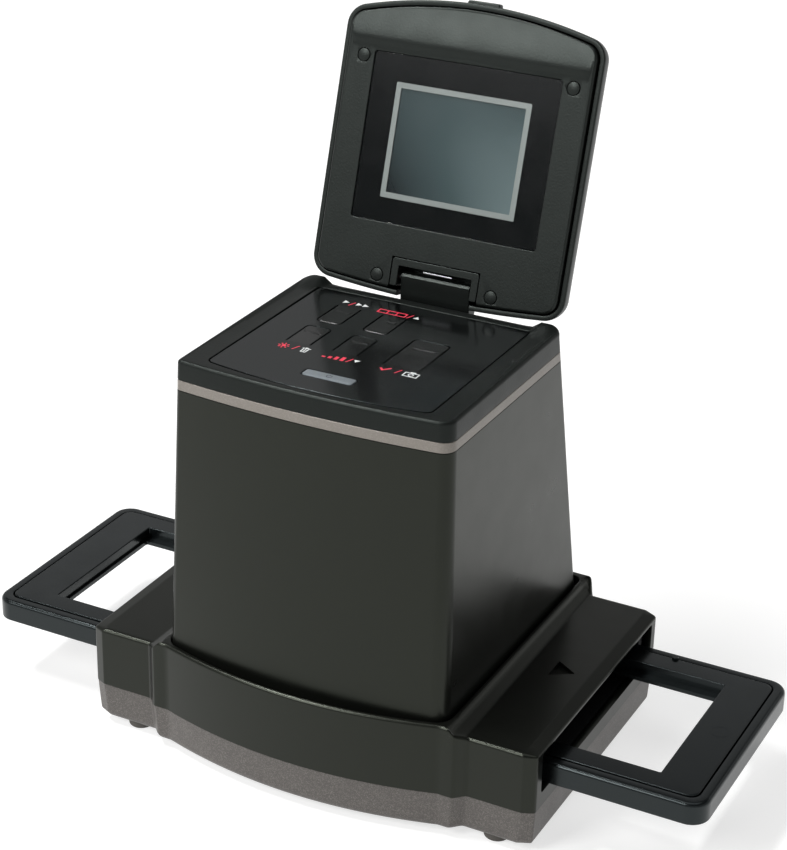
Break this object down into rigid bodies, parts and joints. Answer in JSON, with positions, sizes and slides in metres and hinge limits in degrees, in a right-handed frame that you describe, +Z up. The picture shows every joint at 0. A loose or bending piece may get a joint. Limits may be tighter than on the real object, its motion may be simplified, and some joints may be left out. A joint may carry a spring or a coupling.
{
  "type": "film negative scanner",
  "caption": "Desktop scanner for roll-film negatives: a holder slides through a low base, a tower houses the camera, keys on top and a flip-up screen behind them.",
  "frame": {"origin": "on the table under the middle of the outline, with the screen open and the holder at rest", "axes": "+X to the right along the film holder, -Y towards the user, +Z up"},
  "size_m": [0.2844, 0.1442, 0.2541],
  "materials": {
    "taupe_plastic": "fine metallic lacquer",
    "satin_plastic": "satin",
    "textured_plastic": "fine spark texture",
    "black_plastic": "matt",
    "gloss_black": "semi gloss",
    "gloss_plastic": "high gloss",
    "silver_plastic": "satin silver lacquer",
    "white_plastic": "matt white",
    "white_board": "white solder mask",
    "opal": "opal, light scattering",
    "led": "phosphor in clear resin",
    "rubber": "matt",
    "steel": "bright",
    "black_metal": "black anodised",
    "circuit_board": "green solder mask",
    "chip_plastic": "moulded epoxy",
    "sensor": "cover glass over silicon",
    "cable": "flat cable",
    "lens_glass": "coated",
    "filter_glass": "coated",
    "window_glass": "smoked, polished",
    "print_grey": "printed",
    "display": "display glass"
  },
  "bodies": {
    "base": {"lower_shell": "taupe_plastic", "upper_shell": "satin_plastic", "feet": "rubber", "base_screws": "steel", "led_board": "white_board", "leds": "led", "reflector_box": "white_plastic", "diffuser": "opal", "film_stage": "black_plastic", "stage_screws": "steel", "detent_ball": "steel", "detent_spring": "steel", "light_tunnel": "black_plastic", "camera_bracket": "black_plastic", "lens_barrel": "black_metal", "lens_elements": "lens_glass", "lens_mount": "black_plastic", "ir_filter": "filter_glass", "image_sensor": "sensor", "sensor_board": "circuit_board", "main_board": "circuit_board", "board_chips": "chip_plastic", "io_board": "circuit_board", "usb_socket": "steel", "card_socket": "steel", "av_jack": "black_plastic", "tower_shell": "satin_plastic", "tower_screws": "steel", "trim_band": "taupe_plastic", "top_cap": "satin_plastic", "cap_screws": "steel", "key_panel": "gloss_plastic", "key_board": "circuit_board", "tact_switches": "chip_plastic", "key_cable": "cable", "screen_cable": "cable", "hinge_block": "satin_plastic", "hinge_pin": "steel", "hinge_sleeves": "steel"},
    "screen": {"hinge_cover": "satin_plastic", "hinge_leaf": "steel", "screen_back": "satin_plastic", "screen_bezel": "textured_plastic", "screen_window": "window_glass", "lcd_frame": "print_grey", "lcd_panel": "display", "screen_board": "circuit_board", "screen_screws": "steel", "screw_plugs": "rubber"},
    "film_holder": {"film_holder_base": "gloss_black", "film_holder_cover": "textured_plastic", "holder_hinge_pins": "steel"},
    "key_play": {"key_play": "gloss_plastic"},
    "key_type": {"key_type": "gloss_plastic"},
    "key_light": {"key_light": "gloss_plastic"},
    "key_size": {"key_size": "gloss_plastic"},
    "key_ok": {"key_ok": "gloss_plastic"},
    "power_button": {"power_button": "silver_plastic"}
  },
  "joints": [
    {"name": "screen_hinge", "type": "hinge", "parent": "base", "child": "screen", "pos_m": [0, 0.0369, 0.158], "axis": [1, 0, 0], "range_deg": [0, 106.7]},
    {"name": "film_slide", "type": "slide", "parent": "base", "child": "film_holder", "axis": [1, 0, 0], "range_m": [-0.0945, 0.0915]},
    {"name": "key_play_press", "type": "hinge", "parent": "base", "child": "key_play", "pos_m": [-0.0233, 0.0127, 0.1514], "axis": [1, 0, 0], "range_deg": [0, 2.2], "stiffness_Nm_per_rad": 0.5, "springref_deg": -0.23},
    {"name": "key_type_press", "type": "hinge", "parent": "base", "child": "key_type", "pos_m": [-0.0051, 0.0127, 0.1514], "axis": [1, 0, 0], "range_deg": [0, 2.2], "stiffness_Nm_per_rad": 0.5, "springref_deg": -0.23},
    {"name": "key_light_press", "type": "hinge", "parent": "base", "child": "key_light", "pos_m": [-0.0233, -0.0225, 0.1514], "axis": [-1, 0, 0], "range_deg": [0, 2.2], "stiffness_Nm_per_rad": 0.5, "springref_deg": -0.23},
    {"name": "key_size_press", "type": "hinge", "parent": "base", "child": "key_size", "pos_m": [-0.0051, -0.0225, 0.1514], "axis": [-1, 0, 0], "range_deg": [0, 2.2], "stiffness_Nm_per_rad": 0.5, "springref_deg": -0.23},
    {"name": "key_ok_press", "type": "hinge", "parent": "base", "child": "key_ok", "pos_m": [0.0171, -0.0232, 0.1514], "axis": [-1, 0, 0], "range_deg": [0, 1.35], "stiffness_Nm_per_rad": 1.2, "springref_deg": -0.23},
    {"name": "power_press", "type": "slide", "parent": "base", "child": "power_button", "axis": [0, 0, -1], "range_m": [0, 0.0005], "stiffness_N_per_m": 1500, "springref_m": -0.0003}
  ]
}
